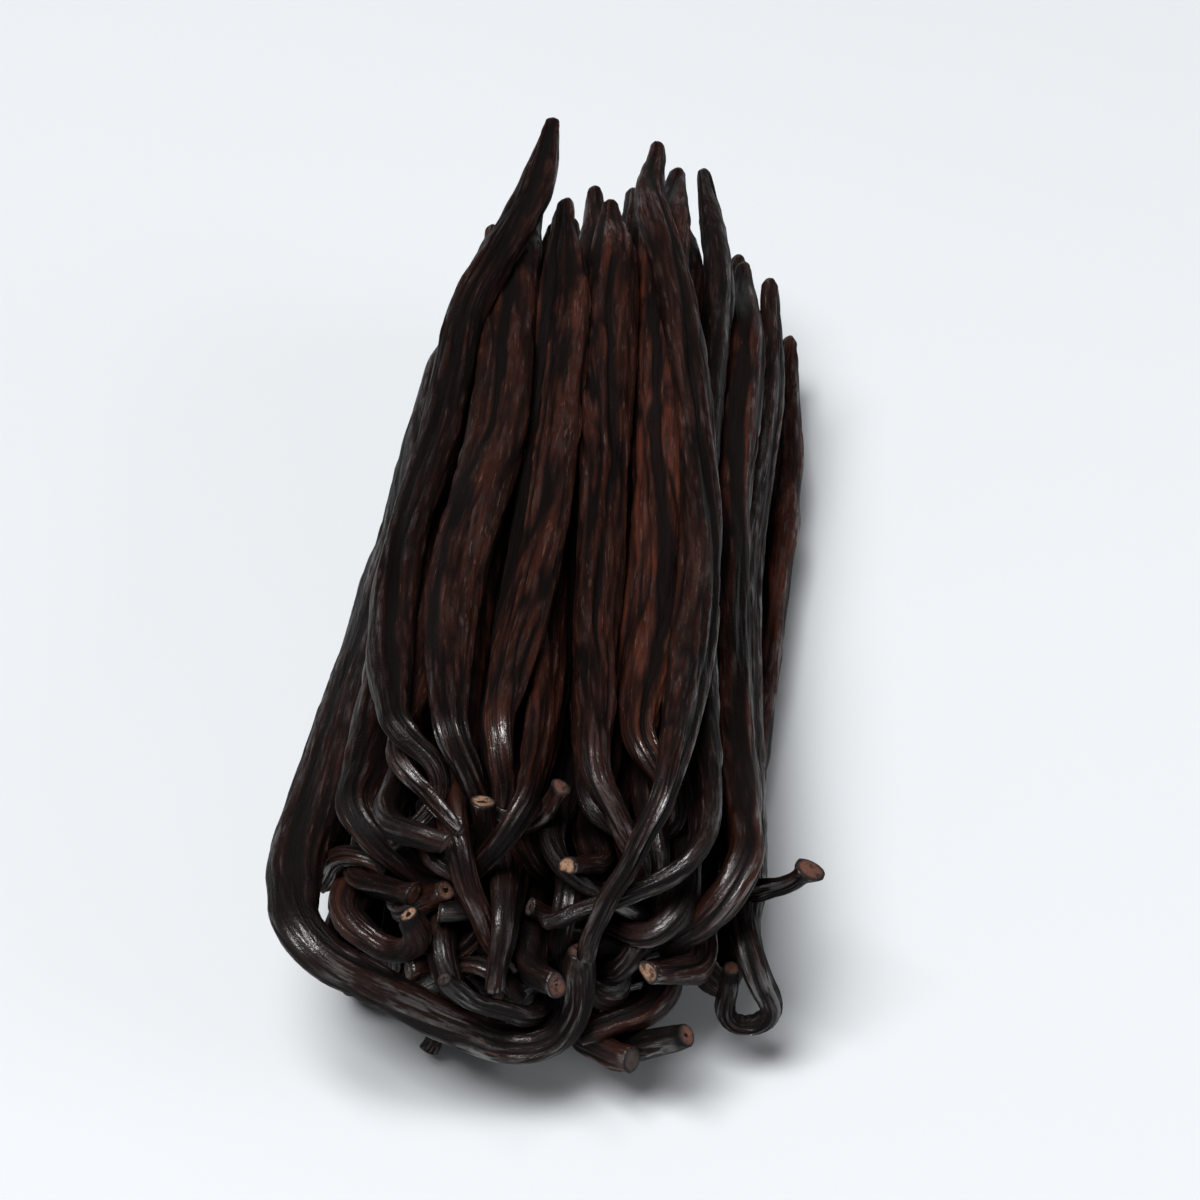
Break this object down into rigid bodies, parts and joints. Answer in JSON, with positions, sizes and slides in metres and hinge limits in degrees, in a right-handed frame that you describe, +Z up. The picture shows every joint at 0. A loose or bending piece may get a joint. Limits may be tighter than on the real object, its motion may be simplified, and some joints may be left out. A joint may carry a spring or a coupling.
{
  "type": "bundle of vanilla pods",
  "caption": "Hand-packed bundle of cured vanilla pods lying on its side, stalk ends curled over each other at one end, tapered ends at the other, as one solid.",
  "frame": {"origin": "middle of the bounding box, on the surface that the bundle lies on", "axes": "+Y runs along the pods from their hooked stalk ends at -Y to their blossom ends at +Y, +Z is up, +X is to the right as seen from the hooked end"},
  "size_m": [0.0626, 0.1676, 0.0475],
  "materials": {
    "pod_skin": "oily, finely wrinkled, near-black brown",
    "stalk_cut": "dry, matt, pale tan cut ends of the stalks"
  },
  "bodies": {
    "root": {"pod_bundle": "pod_skin"}
  },
  "joints": []
}
